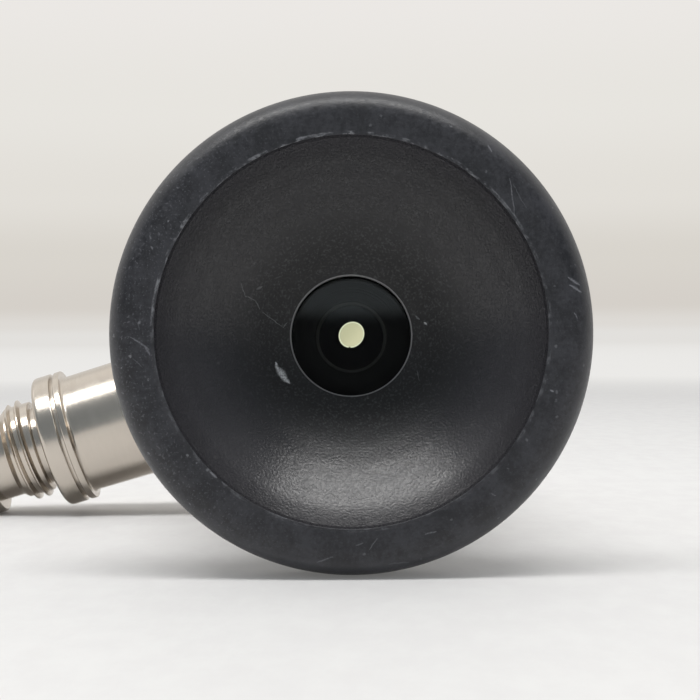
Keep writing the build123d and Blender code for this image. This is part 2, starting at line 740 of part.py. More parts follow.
def post_height(roll):
    """Height of the light post's lowest point above the table, with the body rolled by an angle."""
    centre = AXIS_HEIGHT - POST_STATION * math.sin(PITCH)
    fall = math.sin(roll) * math.cos(PITCH)
    level = math.sqrt(1 - fall * fall)
    ring_edge = PILOT_END + POST_RING_LENGTH - POST_RING_CHAMFER
    edges = [
        (COLLAR_END - COLLAR_ROUND, COLLAR_R - COLLAR_ROUND, COLLAR_ROUND),
        (ring_edge, POST_RING_R, 0),
        (TIP_END - TIP_CHAMFER, TIP_R, 0),
    ]
    return min(centre - reach * fall - radius * level - bead for reach, radius, bead in edges)


def roll_at_rest():
    """Roll, in radians, at which the light post comes down on the table."""
    low = 0.0
    high = math.radians(STEEPEST_ROLL)
    for _ in range(ROLL_HALVINGS):
        middle = (low + high) / 2
        if post_height(middle) > 0:
            low = middle
        else:
            high = middle
    return low


ROLL = roll_at_rest()
LAID = Pos(0, 0, AXIS_HEIGHT) * Rot(X=-math.degrees(PITCH)) * Rot(Y=-math.degrees(ROLL))

PIECES = {
    "eyecup": eyecup(),
    "eyecup_gasket": eyecup_gasket(),
    "ocular_body": ocular_body(),
    "window_cell": window_cell(),
    "ocular_window": ocular_window(),
    "ocular_cell": ocular_cell(),
    "ocular_crown_lens": ocular_crown(),
    "ocular_flint_lens": ocular_flint(),
    "ocular_spacer": ocular_spacer(),
    "field_stop": field_stop(),
    "field_stop_ring": stop_ring(),
    "tube_bush": tube_bush(),
    "main_housing": main_housing(),
    "post_barrel": post_barrel(),
    "post_connector": post_connector(),
    "post_ring": post_ring(),
    "light_ferrule": light_ferrule(),
    "light_window": light_window(),
    "light_fibres": light_fibres(),
    "sheath_lock": sheath_lock(),
    "index_pin": index_pin(),
    "outer_tube": outer_tube(),
    "inner_tube": inner_tube(),
    "tip_window": tip_window(),
    "tip_prism": prism(),
    "objective_front_lens": objective_front(),
    "objective_spacer": objective_spacer(),
    "objective_rear_lens": objective_rear(),
    "relay_end_spacer": relay_spacer(),
}
for rod in range(ROD_COUNT):
    PIECES[f"rod_lens_{rod + 1}"] = rod_lens(rod)
for gap in range(ROD_COUNT - 1):
    PIECES[f"rod_spacer_{gap + 1}"] = rod_spacer(gap)


def base_middle(pieces):
    """Middle of the laid object's underside: the middle of its outline from above, at its lowest height."""
    boxes = [(LAID * piece).bounding_box() for piece in pieces]
    low_x = min(box.min.X for box in boxes)
    high_x = max(box.max.X for box in boxes)
    low_y = min(box.min.Y for box in boxes)
    high_y = max(box.max.Y for box in boxes)
    lowest = min(box.min.Z for box in boxes)
    return Vector((low_x + high_x) / 2, (low_y + high_y) / 2, lowest)


# The outermost pieces give the middle of the underside, which is the origin
OUTERMOST = [PIECES["eyecup"], PIECES["post_connector"], PIECES["post_ring"], PIECES["outer_tube"]]
PLACE = Pos(-base_middle(OUTERMOST)) * LAID

os.makedirs("parts", exist_ok=True)
for name, piece in PIECES.items():
    export_step(PLACE * piece, f"parts/{name}.step")
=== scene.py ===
"""Rigid endoscope on a pale table, seen along its axis from the eyecup's side."""

import json
import math

import bmesh
import bpy
from mathutils import Matrix, Vector


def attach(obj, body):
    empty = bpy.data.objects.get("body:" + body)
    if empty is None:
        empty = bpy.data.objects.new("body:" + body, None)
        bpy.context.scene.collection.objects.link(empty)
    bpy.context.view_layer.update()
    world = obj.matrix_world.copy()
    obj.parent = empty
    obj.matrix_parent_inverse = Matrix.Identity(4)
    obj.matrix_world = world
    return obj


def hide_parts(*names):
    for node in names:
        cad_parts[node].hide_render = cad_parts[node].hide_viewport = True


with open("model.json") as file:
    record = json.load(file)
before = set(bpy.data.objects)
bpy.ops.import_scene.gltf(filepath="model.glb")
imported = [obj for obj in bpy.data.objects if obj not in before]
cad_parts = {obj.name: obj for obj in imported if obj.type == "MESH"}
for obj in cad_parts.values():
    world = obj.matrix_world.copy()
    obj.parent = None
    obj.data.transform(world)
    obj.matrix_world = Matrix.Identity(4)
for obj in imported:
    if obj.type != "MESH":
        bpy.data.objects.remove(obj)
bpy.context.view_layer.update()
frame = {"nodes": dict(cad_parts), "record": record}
nodes = frame["nodes"]

# Axes of the part. Pieces are drawn in millimetres, as radius and station along an axis.
MM = 0.001
RIM_MOUNT_STATION = 3.0  # from the rim's front to its mount
POST_STATION = 44.0  # from the rim's front to the axis of the light post
mounts = {mount["name"]: mount for mount in frame["record"]["mounts"]}
tipward = -Vector(mounts["eyecup_rim"]["axis"]).normalized()
postward = Vector(mounts["light_post_tip"]["axis"]).normalized()
rim_centre = Vector(mounts["eyecup_rim"]["pos_m"]) - tipward * RIM_MOUNT_STATION * MM


def axes(x, y, origin):
    """Matrix that carries millimetres along x, y and their cross product to the part's place."""
    turn = Matrix((x, y, x.cross(y))).transposed().to_4x4()
    return Matrix.Translation(origin) @ turn @ Matrix.Scale(MM, 4)


BODY_AXES = axes(-postward, tipward, rim_centre)
CUP_AXES = axes(Vector((1, 0, 0)), tipward, rim_centre)
POST_AXES = axes(tipward, postward, rim_centre + tipward * POST_STATION * MM)


# Nodes of a material


def wire(tree, value, socket):
    """Sets a socket to a plain value, or links it to another node's output."""
    if isinstance(value, bpy.types.NodeSocket):
        tree.links.new(value, socket)
    else:
        socket.default_value = value


def add(tree, kind, values=(), **settings):
    """A new node with its settings, and values for its inputs by name or number."""
    made = tree.nodes.new(kind)
    for name, setting in settings.items():
        setattr(made, name, setting)
    for name, value in dict(values).items():
        wire(tree, value, made.inputs[name])
    return made


def calc(tree, operation, first, second=0.0, third=0.0, clamp=False):
    """One step of arithmetic on numbers."""
    values = {0: first, 1: second, 2: third}
    return add(tree, "ShaderNodeMath", values, operation=operation, use_clamp=clamp).outputs[0]


def vector_calc(tree, operation, first, second=(0, 0, 0), output=0):
    """One step of arithmetic on vectors."""
    values = {0: first, 1: second}
    return add(tree, "ShaderNodeVectorMath", values, operation=operation).outputs[output]


def scaled(tree, vector, factors):
    """A position stretched by a factor along each axis."""
    return vector_calc(tree, "MULTIPLY", vector, factors)


def spread(tree, value, low, high, to_low=0.0, to_high=1.0):
    """Maps a range of a value onto another, held at both ends."""
    values = {
        "Value": value,
        "From Min": low,
        "From Max": high,
        "To Min": to_low,
        "To Max": to_high,
    }
    return add(tree, "ShaderNodeMapRange", values, interpolation_type="SMOOTHSTEP").outputs[0]


def noise(tree, position, scale, detail=3.0, roughness=0.55):
    """Cloudy noise, about 0.5 on average."""
    values = {"Vector": position, "Scale": scale, "Detail": detail, "Roughness": roughness}
    return add(tree, "ShaderNodeTexNoise", values).outputs["Fac"]


def shaken(tree, position, scale, detail, reach, directions=(1, 1, 1)):
    """A position moved about by noise, so that what is drawn with it gets uneven edges."""
    values = {"Vector": position, "Scale": scale, "Detail": detail}
    shake = add(tree, "ShaderNodeTexNoise", values).outputs["Color"]
    shake = vector_calc(tree, "SUBTRACT", shake, (0.5, 0.5, 0.5))
    shift = scaled(tree, shake, tuple(reach * direction for direction in directions))
    return vector_calc(tree, "ADD", position, shift)


def blend_colours(tree, share, first, second):
    """The first colour where the share is 0, the second where it is 1."""
    mixer = add(tree, "ShaderNodeMix", {0: share}, data_type="RGBA")
    wire(tree, first, mixer.inputs[6])
    wire(tree, second, mixer.inputs[7])
    return mixer.outputs[2]


def grey(level, blue=0.0):
    """A near-grey colour, with a little more or less blue."""
    return (level, level * (1 + blue / 3), level * (1 + blue), 1)


def place(tree, frame_axes):
    """Position on a piece, in millimetres along the given axes."""
    spot = add(tree, "ShaderNodeTexCoord").outputs["Object"]
    back = frame_axes.inverted()
    mapping = add(tree, "ShaderNodeMapping", {"Vector": spot})
    mapping.inputs["Scale"].default_value = (1 / MM,) * 3
    mapping.inputs["Rotation"].default_value = back.to_quaternion().to_euler()
    mapping.inputs["Location"].default_value = back.to_translation()
    return mapping.outputs[0]


def polar(tree, position):
    """Distance from the y axis, station along it, and turn about it, from a position."""
    split = add(tree, "ShaderNodeSeparateXYZ", {0: position})
    flat = scaled(tree, position, (1, 0, 1))
    radius = vector_calc(tree, "LENGTH", flat, output=1)
    turn = calc(tree, "ARCTAN2", split.outputs[2], split.outputs[0])
    return radius, split.outputs[1], turn


def even_mix(tree, first, second, share):
    """Two values added, the first times a share and the second times the rest."""
    return calc(tree, "MULTIPLY_ADD", first, share, calc(tree, "MULTIPLY", second, 1 - share))


def band(tree, value, start, end, soft):
    """1 between two values, falling to 0 over a soft edge at each."""
    rise = spread(tree, value, start - soft, start + soft)
    fall = spread(tree, value, end - soft, end + soft, 1.0, 0.0)
    return calc(tree, "MULTIPLY", rise, fall)


# Node groups that several materials share


def new_group(name, inputs, outputs):
    """An empty node group with named sockets. A socket is (name, kind, first value)."""
    tree = bpy.data.node_groups.new(name, "ShaderNodeTree")
    for label, kind, first in inputs:
        socket = tree.interface.new_socket(label, in_out="INPUT", socket_type="NodeSocket" + kind)
        if kind == "Float":
            socket.default_value = first
    for label, kind in outputs:
        tree.interface.new_socket(label, in_out="OUTPUT", socket_type="NodeSocket" + kind)
    return tree, tree.nodes.new("NodeGroupInput").outputs, tree.nodes.new("NodeGroupOutput").inputs


def use(tree, group, values, output=0):
    """Places a node group in a material with its own values."""
    made = tree.nodes.new("ShaderNodeGroup")
    made.node_tree = group
    for name, value in values.items():
        wire(tree, value, made.inputs[name])
    return made.outputs[output]


def make_grain():
    """Fine blasted grain: two sizes of noise, as a height."""
    inputs = [
        ("Position", "Vector", None),
        ("Scale", "Float", 8.0),
        ("Coarse Share", "Float", 0.3),
    ]
    tree, given, out = new_group("Blasted Grain", inputs, [("Height", "Float")])
    fine = noise(tree, given["Position"], given["Scale"], 2.0, 0.5)
    third = calc(tree, "MULTIPLY", given["Scale"], 0.31)
    coarse = noise(tree, given["Position"], third, 3.0, 0.6)
    step = add(tree, "ShaderNodeMix", {0: given["Coarse Share"], 2: fine, 3: coarse})
    wire(tree, step.outputs[0], out["Height"])
    return tree


def make_specks():
    """Small scattered chips and dust specks, as a mask."""
    inputs = [
        ("Position", "Vector", None),
        ("Scale", "Float", 2.0),
        ("Amount", "Float", 0.3),
        ("Size", "Float", 0.2),
    ]
    tree, given, out = new_group("Specks", inputs, [("Mask", "Float")])
    moved = shaken(tree, given["Position"], 5.0, 2.0, 0.25)
    cells = add(tree, "ShaderNodeTexVoronoi", {"Vector": moved, "Scale": given["Scale"]})
    chance = add(tree, "ShaderNodeSeparateColor", {0: cells.outputs["Color"]}).outputs
    chosen = calc(tree, "LESS_THAN", chance[0], given["Amount"])
    size = calc(tree, "MULTIPLY", given["Size"], chance[1])
    off = calc(tree, "SUBTRACT", cells.outputs["Distance"], size)
    near = spread(tree, off, -0.05, 0.05, 1.0, 0.0)
    wire(tree, calc(tree, "MULTIPLY", near, chosen), out["Mask"])
    return tree


def make_scratch():
    """One mark on the front of the cup, from Start to End, as a mask."""
    inputs = [
        ("Position", "Vector", None),
        ("Start", "Vector", None),
        ("End", "Vector", None),
        ("Width", "Float", 0.05),
        ("Strength", "Float", 1.0),
    ]
    tree, given, out = new_group("Scratch", inputs, [("Mask", "Float")])
    along = vector_calc(tree, "SUBTRACT", given["End"], given["Start"])
    reach = vector_calc(tree, "SUBTRACT", given["Position"], given["Start"])
    done = vector_calc(tree, "DOT_PRODUCT", reach, along, output=1)
    whole = vector_calc(tree, "DOT_PRODUCT", along, along, output=1)
    share = calc(tree, "DIVIDE", done, whole, clamp=True)
    part_way = {0: along, "Scale": share}
    foot = add(tree, "ShaderNodeVectorMath", part_way, operation="SCALE").outputs[0]
    off = vector_calc(tree, "LENGTH", vector_calc(tree, "SUBTRACT", reach, foot), output=1)
    from_middle = calc(tree, "SUBTRACT", share, 0.5)
    squared = calc(tree, "MULTIPLY", from_middle, from_middle)
    taper = calc(tree, "MULTIPLY_ADD", squared, -2.4, 1.0)
    wide = calc(tree, "MULTIPLY", given["Width"], taper)
    line = spread(tree, calc(tree, "DIVIDE", off, wide), 0.0, 1.0, 1.0, 0.0)
    wire(tree, calc(tree, "MULTIPLY", line, given["Strength"]), out["Mask"])
    return tree


def make_lathe_marks():
    """Rings left by turning, along the y axis of the position, as a height and a tone."""
    inputs = [("Position", "Vector", None), ("Pitch", "Float", 8.0)]
    tree, given, out = new_group("Turning Marks", inputs, [("Height", "Float"), ("Tone", "Float")])
    radius, station, _ = polar(tree, given["Position"])
    place_on_profile = add(tree, "ShaderNodeCombineXYZ", {0: radius, 1: station})
    rings = noise(tree, place_on_profile.outputs[0], given["Pitch"], 3.0, 0.7)
    streaks = noise(tree, scaled(tree, given["Position"], (0.35, 3.0, 0.35)), 1.3, 4.0, 0.6)
    wire(tree, rings, out["Height"])
    wire(tree, streaks, out["Tone"])
    return tree


GRAIN = make_grain()
SPECKS = make_specks()
SCRATCH = make_scratch()
TURNING = make_lathe_marks()


# Materials


def new_material(name, **plain):
    """A material with its shader. Plain numbers go on the shader's own sockets."""
    material = bpy.data.materials.new(name)
    material.use_nodes = True
    shader = material.node_tree.nodes["Principled BSDF"]
    for label, value in plain.items():
        shader.inputs[label.replace("_", " ").title().replace("Ior", "IOR")].default_value = value
    return material, material.node_tree, shader


def set_bump(tree, shader, height, depth, strength=1.0):
    """Raises the surface by a height from 0 to 1 times a depth in millimetres."""
    values = {"Height": height, "Distance": depth * MM, "Strength": strength}
    wire(tree, add(tree, "ShaderNodeBump", values).outputs[0], shader.inputs["Normal"])


# Marks on the front of the cup: start x, z and end x, z in millimetres, width, strength
BOWL_MARKS = [
    (-5.22, -1.85, -4.98, -2.45, 0.16, 1),
    (-5.10, -2.16, -4.46, -3.06, 0.34, 1),
    (-4.92, -2.70, -4.27, -3.22, 0.24, 1),
    (-7.45, 3.45, -7.15, 2.65, 0.05, 0.25),
    (-7.15, 2.65, -6.50, 2.35, 0.05, 0.22),
    (-6.50, 2.35, -6.20, 1.80, 0.05, 0.22),
    (-6.05, 1.60, -4.70, 0.55, 0.045, 0.22),
    (-4.70, 0.55, -4.45, 0.95, 0.045, 0.19),
    (-6.40, 3.15, -6.05, 3.35, 0.14, 0.17),
    (4.45, 1.35, 4.70, 1.05, 0.1, 0.22),
    (5.05, 0.85, 5.20, 0.70, 0.11, 0.75),
    (4.50, -2.50, 4.65, -3.15, 0.05, 0.19),
]
RIM_MARKS = [
    (10.34, 9.84, 10.62, 7.41, 0.055, 0.6),
    (10.53, 9.49, 11.36, 7.90, 0.05, 0.35),
    (14.05, 3.39, 14.84, 2.89, 0.15, 0.75),
    (14.15, 2.90, 14.89, 2.45, 0.14, 0.8),
    (14.43, 1.12, 14.63, 0.77, 0.09, 0.6),
    (8.97, 12.02, 9.17, 11.62, 0.1, 0.65),
    (6.46, 13.37, 6.61, 13.22, 0.12, 0.4),
    (-14.27, -0.28, -13.04, -1.13, 0.09, 0.65),
    (-13.33, -0.93, -12.99, -1.48, 0.14, 0.55),
    (-14.08, -1.67, -13.49, -2.26, 0.06, 0.35),
    (-13.82, 0.70, -13.67, 0.16, 0.06, 0.3),
    (-9.40, 12.92, -9.05, 12.87, 0.08, 0.55),
    (-3.47, 12.46, -2.98, 12.59, 0.12, 1),
    (-9.14, -9.06, -8.69, -9.41, 0.14, 0.75),
    (-8.40, -9.65, -8.06, -9.90, 0.12, 0.45),
    (0.22, -13.81, 0.71, -13.66, 0.08, 0.4),
    (1.60, -13.37, 1.10, -14.06, 0.07, 0.45),
    (-2.31, -14.88, -1.27, -14.54, 0.1, 0.45),
    (4.67, -13.14, 5.36, -12.95, 0.09, 0.55),
    (2.33, -15.05, 3.62, -14.96, 0.09, 0.35),
    (8.93, -10.50, 9.27, -10.65, 0.07, 0.4),
    (12.82, -3.91, 13.02, -4.01, 0.1, 0.75),
    (-13.23, -7.75, -13.08, -7.85, 0.1, 0.85),
    (-14.88, -3.84, -14.74, -3.94, 0.09, 0.6),
    (-12.90, 5.58, -12.80, 5.39, 0.12, 0.55),
    (-12.45, 6.42, -12.35, 6.27, 0.12, 0.45),
    (-14.17, 7.02, -14.03, 6.83, 0.11, 0.5),
]


def marks(tree, position, listed):
    """All the marks of a list as one mask."""
    face = shaken(tree, scaled(tree, position, (1, 0, 1)), 2.2, 3.0, 0.22, (1, 0, 1))
    mask = 0.0
    for x0, z0, x1, z1, width, strength in listed:
        values = {
            "Position": face,
            "Start": (x0, 0, z0),
            "End": (x1, 0, z1),
            "Width": width,
            "Strength": strength,
        }
        mask = calc(tree, "MAXIMUM", mask, use(tree, SCRATCH, values))
    broken = spread(tree, noise(tree, face, 9.0, 2.0, 0.6), 0.32, 0.58, 0.4, 1.0)
    return calc(tree, "MULTIPLY", mask, broken)


# The bowl shades as if its slope were this much gentler,
# which puts the lamp's gleam where the real bowl has it.
BOWL_FLATTENING = 0.155
BORE_RADIUS = 4.20


def cup_bowl():
    """Black plastic of the bowl, blasted, with fine dust, a scuff and a few fine scratches, and
    painted shade and light in its colour.
    """
    material, tree, shader = new_material("cup_bowl", ior=1.5)
    position = place(tree, CUP_AXES)
    radius, station, _ = polar(tree, position)
    tone = noise(tree, position, 0.35, 4.0, 0.6)
    height = add(tree, "ShaderNodeSeparateXYZ", {0: position}).outputs[2]
    # Painted shade and light, with some fine dust: the colour is near black at the bore and darker
    # toward the top (painted shade), greyer out in the lower open bowl (painted light, with dust),
    # and a little darker again near the mouth (painted shade).
    light_and_dust_share = spread(tree, radius, 5.2, 10.6)
    light_and_dust_share = calc(tree, "MULTIPLY", light_and_dust_share, spread(tree, height, -1.0, 9.0, 1.0, 0.35))
    bore_painted_shade = (0.0030, 0.0032, 0.0040, 1)
    painted_light_and_dust = (0.0330, 0.0320, 0.0365, 1)
    mouth_painted_shade = (0.0260, 0.0250, 0.0285, 1)
    greyed = blend_colours(tree, light_and_dust_share, bore_painted_shade, painted_light_and_dust)
    greyed = blend_colours(tree, spread(tree, radius, 11.4, 12.9), greyed, mouth_painted_shade)
    wiped = spread(tree, tone, 0.3, 0.7, 0.0, 0.2)
    colour = blend_colours(tree, wiped, greyed, (0.0120, 0.0120, 0.0140, 1))
    dust = use(tree, SPECKS, {"Position": position, "Scale": 0.9, "Amount": 0.35, "Size": 0.10})
    colour = blend_colours(tree, calc(tree, "MULTIPLY", dust, 0.6), colour, (0.10, 0.10, 0.10, 1))
    scuff = marks(tree, position, BOWL_MARKS)
    colour = blend_colours(tree, scuff, colour, (0.62, 0.64, 0.66, 1))
    grain = use(tree, GRAIN, {"Position": position, "Scale": 6.0, "Coarse Share": 0.2})
    bright_grains = calc(tree, "MULTIPLY", spread(tree, grain, 0.50, 0.68), 0.35)
    colour = blend_colours(tree, bright_grains, colour, (0.075, 0.075, 0.080, 1))
    # Painted highlight: a light grey ring round the bore's sharp edge, where the edge catches the
    # light.
    lip_painted_light = spread(tree, radius, BORE_RADIUS, BORE_RADIUS + 0.04, 1.0, 0.0)
    lip_painted_light = calc(tree, "MULTIPLY", lip_painted_light, spread(tree, station, 7.9, 8.2, 1.0, 0.0))
    colour = blend_colours(tree, lip_painted_light, colour, (0.26, 0.26, 0.265, 1))
    wire(tree, colour, shader.inputs["Base Color"])
    rough = spread(tree, noise(tree, position, 0.9, 4.0, 0.6), 0.3, 0.7, 0.26, 0.31)
    rough = calc(tree, "ADD", rough, spread(tree, grain, 0.35, 0.65, 0.06, -0.06))
    rough = calc(tree, "ADD", rough, spread(tree, radius, 5.5, 9.0, 0.22, 0.0))
    wire(tree, calc(tree, "MULTIPLY_ADD", scuff, 0.25, rough), shader.inputs["Roughness"])
    flatter = calc(tree, "MULTIPLY", radius, -BOWL_FLATTENING)
    set_bump(tree, shader, calc(tree, "MULTIPLY_ADD", grain, 0.026, flatter), 1.0)
    return material


def cup_rim():
    """Black plastic of the rim, greyed by handling, speckled and scratched, with painted light
    toward its left, on its outer edge and on the lower mouth step.
    """
    material, tree, shader = new_material("cup_rim", ior=1.5)
    position = place(tree, CUP_AXES)
    radius, _, turn = polar(tree, position)
    side = add(tree, "ShaderNodeSeparateXYZ", {0: position})
    # Flecks and chips are denser and lighter toward the left: wear, together with painted light
    # from the left side.
    left_wear_and_painted_light = spread(tree, side.outputs[0], -13.0, -2.0, 1.0, 0.25)
    clouds = noise(tree, position, 0.45, 4.0, 0.65)
    mottle = noise(tree, position, 3.2, 3.0, 0.6)
    share = spread(tree, even_mix(tree, clouds, mottle, 0.6), 0.38, 0.62)
    colour = blend_colours(tree, share, (0.0120, 0.0122, 0.0155, 1), (0.0330, 0.0335, 0.0400, 1))
    flecks = spread(tree, noise(tree, position, 6.5, 2.0, 0.5), 0.56, 0.72)
    flecks = calc(tree, "MULTIPLY", flecks, calc(tree, "MULTIPLY", left_wear_and_painted_light, 0.75))
    colour = blend_colours(tree, flecks, colour, (0.095, 0.097, 0.108, 1))
    chips = use(tree, SPECKS, {"Position": position, "Scale": 1.6, "Amount": 0.28, "Size": 0.16})
    chips = calc(tree, "MULTIPLY", chips, calc(tree, "MULTIPLY_ADD", left_wear_and_painted_light, 0.5, 0.2))
    colour = blend_colours(tree, chips, colour, (0.20, 0.205, 0.22, 1))
    # The mouth's edge is worn bright in dashes, most of them at the top
    round_mouth = {0: calc(tree, "MULTIPLY", turn, 6.0), 1: radius}
    round_mouth = add(tree, "ShaderNodeCombineXYZ", round_mouth).outputs[0]
    dashes = spread(tree, noise(tree, round_mouth, 1.4, 4.0, 0.75), 0.48, 0.62)
    mouth = calc(tree, "MULTIPLY", band(tree, radius, 12.74, 12.98, 0.05), dashes)
    corner = spread(tree, turn, 0.2, 0.9, 0.35, 1.0)
    mouth = calc(tree, "MULTIPLY", mouth, corner)
    colour = blend_colours(tree, calc(tree, "MULTIPLY", mouth, 0.9), colour, (0.20, 0.205, 0.22, 1))
    # Painted highlight: a light line on the lower part of the mouth step, where its upward-facing
    # wall catches the light.
    mouth_step_painted_highlight = band(tree, radius, 12.66, 12.72, 0.03)
    mouth_step_painted_highlight = calc(tree, "MULTIPLY", mouth_step_painted_highlight, spread(tree, side.outputs[2], -4.0, -11.0, 0.0, 0.8))
    colour = blend_colours(tree, mouth_step_painted_highlight, colour, (0.16, 0.16, 0.165, 1))
    scratched = calc(tree, "MULTIPLY", marks(tree, position, RIM_MARKS), 0.8)
    colour = blend_colours(tree, scratched, colour, (0.26, 0.265, 0.29, 1))
    # The outer edge is lighter all round: partly wear, partly a painted reflection of the lit
    # table.
    worn_edge_and_painted_reflection = calc(tree, "MULTIPLY", spread(tree, radius, 14.8, 15.8), 0.45)
    colour = blend_colours(tree, worn_edge_and_painted_reflection, colour, (0.062, 0.063, 0.068, 1))
    wire(tree, colour, shader.inputs["Base Color"])
    rough = spread(tree, mottle, 0.3, 0.7, 0.34, 0.48)
    wire(tree, rough, shader.inputs["Roughness"])
    grain = use(tree, GRAIN, {"Position": position, "Scale": 5.0, "Coarse Share": 0.45})
    set_bump(tree, shader, grain, 0.022)
    return material


def cup_back():
    """Black plastic of the cup's back and neck, smoother, with faint turning marks."""
    material, tree, shader = new_material("cup_back", ior=1.5)
    position = place(tree, CUP_AXES)
    tone = noise(tree, position, 0.5, 4.0, 0.65)
    share = spread(tree, tone, 0.35, 0.65)
    colour = blend_colours(tree, share, grey(0.014, 0.15), grey(0.024, 0.18))
    chips = use(tree, SPECKS, {"Position": position, "Scale": 1.1, "Amount": 0.25, "Size": 0.13})
    colour = blend_colours(tree, calc(tree, "MULTIPLY", chips, 0.5), colour, grey(0.12, 0.05))
    wire(tree, colour, shader.inputs["Base Color"])
    wire(tree, spread(tree, tone, 0.3, 0.7, 0.34, 0.48), shader.inputs["Roughness"])
    rings = use(tree, TURNING, {"Position": position, "Pitch": 7.0})
    grain = use(tree, GRAIN, {"Position": position, "Scale": 6.0, "Coarse Share": 0.4})
    set_bump(tree, shader, calc(tree, "MULTIPLY_ADD", rings, 0.4, grain), 0.010)
    return material


def turned_steel(name, frame_axes, bright, dull, roughness, pitch):
    """Satin turned stainless steel, with fine rings, wiped smears and a few faint dots."""
    material, tree, shader = new_material(name, metallic=1.0)
    position = place(tree, frame_axes)
    tone = use(tree, TURNING, {"Position": position, "Pitch": pitch}, "Tone")
    rings = use(tree, TURNING, {"Position": position, "Pitch": pitch})
    smears = noise(tree, position, 0.28, 5.0, 0.7)
    share = spread(tree, even_mix(tree, tone, smears, 0.5), 0.3, 0.7, 0.1, 0.9)
    colour = blend_colours(tree, share, dull, bright)
    dots = use(tree, SPECKS, {"Position": position, "Scale": 0.8, "Amount": 0.22, "Size": 0.09})
    colour = blend_colours(tree, calc(tree, "MULTIPLY", dots, 0.2), colour, (0.20, 0.17, 0.14, 1))
    wire(tree, colour, shader.inputs["Base Color"])
    rough = spread(tree, smears, 0.32, 0.68, roughness - 0.02, roughness + 0.03)
    rough = calc(tree, "MULTIPLY_ADD", tone, 0.03, rough)
    wire(tree, rough, shader.inputs["Roughness"])
    set_bump(tree, shader, rings, 0.0011)
    return material


def drawn_steel(name, frame_axes, bright, dull, roughness):
    """Drawn and polished tube: fine lines along its length."""
    material, tree, shader = new_material(name, metallic=1.0)
    position = place(tree, frame_axes)
    lines = noise(tree, scaled(tree, position, (1, 0.012, 1)), 16.0, 3.0, 0.6)
    smears = noise(tree, scaled(tree, position, (1, 0.06, 1)), 0.5, 5.0, 0.65)
    colour = blend_colours(tree, spread(tree, smears, 0.3, 0.7, 0.15, 0.85), dull, bright)
    wire(tree, colour, shader.inputs["Base Color"])
    rough = spread(tree, smears, 0.3, 0.7, roughness - 0.02, roughness + 0.01)
    rough = calc(tree, "MULTIPLY_ADD", lines, 0.05, rough)
    wire(tree, rough, shader.inputs["Roughness"])
    set_bump(tree, shader, lines, 0.0008)
    return material


def black_finish(name):
    """Matt black finish inside the eyepiece, with fine antireflection threads."""
    material, tree, shader = new_material(name, ior=1.25)
    position = place(tree, CUP_AXES)
    tone = noise(tree, position, 1.5, 4.0, 0.6)
    colour = blend_colours(tree, tone, grey(0.0025), grey(0.0060))
    radius, station, _ = polar(tree, position)
    # The front lip of the lens cell is painted a little lighter: painted light in place of the
    # light that reaches it through the glass.
    lip_painted_light = band(tree, radius, 2.30, 2.50, 0.04)
    lip_painted_light = calc(tree, "MULTIPLY", lip_painted_light, spread(tree, station, 11.5, 11.6, 1.0, 0.0))
    colour = blend_colours(tree, lip_painted_light, colour, grey(0.05))
    wire(tree, colour, shader.inputs["Base Color"])
    wire(tree, spread(tree, tone, 0.3, 0.7, 0.50, 0.68), shader.inputs["Roughness"])
    rings = use(tree, TURNING, {"Position": position, "Pitch": 5.0})
    set_bump(tree, shader, rings, 0.02)
    return material


def seal_rubber():
    """Matt black rubber of the seal."""
    material, tree, shader = new_material("seal_rubber", ior=1.5)
    position = place(tree, CUP_AXES)
    tone = noise(tree, position, 1.2, 5.0, 0.6)
    wire(tree, blend_colours(tree, tone, grey(0.012), grey(0.024)), shader.inputs["Base Color"])
    wire(tree, spread(tree, tone, 0.3, 0.7, 0.65, 0.85), shader.inputs["Roughness"])
    set_bump(tree, shader, use(tree, GRAIN, {"Position": position, "Scale": 5.0}), 0.01)
    return material


def turned_brass():
    """Brass of the bush that centres the optical tube."""
    material, tree, shader = new_material("turned_brass", metallic=1.0)
    position = place(tree, BODY_AXES)
    tone = use(tree, TURNING, {"Position": position, "Pitch": 6.0}, "Tone")
    share = spread(tree, tone, 0.35, 0.65)
    colour = blend_colours(tree, share, (0.50, 0.33, 0.12, 1), (0.70, 0.50, 0.22, 1))
    wire(tree, colour, shader.inputs["Base Color"])
    wire(tree, spread(tree, tone, 0.3, 0.7, 0.25, 0.4), shader.inputs["Roughness"])
    set_bump(tree, shader, use(tree, TURNING, {"Position": position, "Pitch": 6.0}), 0.002)
    return material


def clear_glass(name, index, tint, dusty=0.0, frame_axes=CUP_AXES):
    """Polished glass with the faintest smears. Dusty glass has a few specks that scatter light."""
    material, tree, shader = new_material(name, ior=index, transmission_weight=1.0)
    position = place(tree, frame_axes)
    smear = noise(tree, position, 0.6, 4.0, 0.65)
    wire(tree, spread(tree, smear, 0.45, 0.75, 0.0, 0.02), shader.inputs["Roughness"])
    specks = use(tree, SPECKS, {"Position": position, "Scale": 0.9, "Amount": 0.3, "Size": 0.09})
    specks = calc(tree, "MULTIPLY", specks, dusty)
    faint = tuple(level * 0.96 for level in tint[:3]) + (1,)
    colour = blend_colours(tree, smear, tint, faint)
    colour = blend_colours(tree, specks, colour, (0.35, 0.36, 0.36, 1))
    wire(tree, colour, shader.inputs["Base Color"])
    return material


# The painted glow at the eyepiece: an emitting oval on the front of the crown lens, standing in for
# the image that light through the optics makes, in millimetres
IMAGE_CENTRE = (0.02, 0.22)
IMAGE_HALF_AXES = (0.965, 0.875)
IMAGE_LEAN = math.radians(49.5)
IMAGE_STATION = 12.6
NOTCH_CENTRE = (-0.14, -0.915)
NOTCH_RADIUS = 0.065


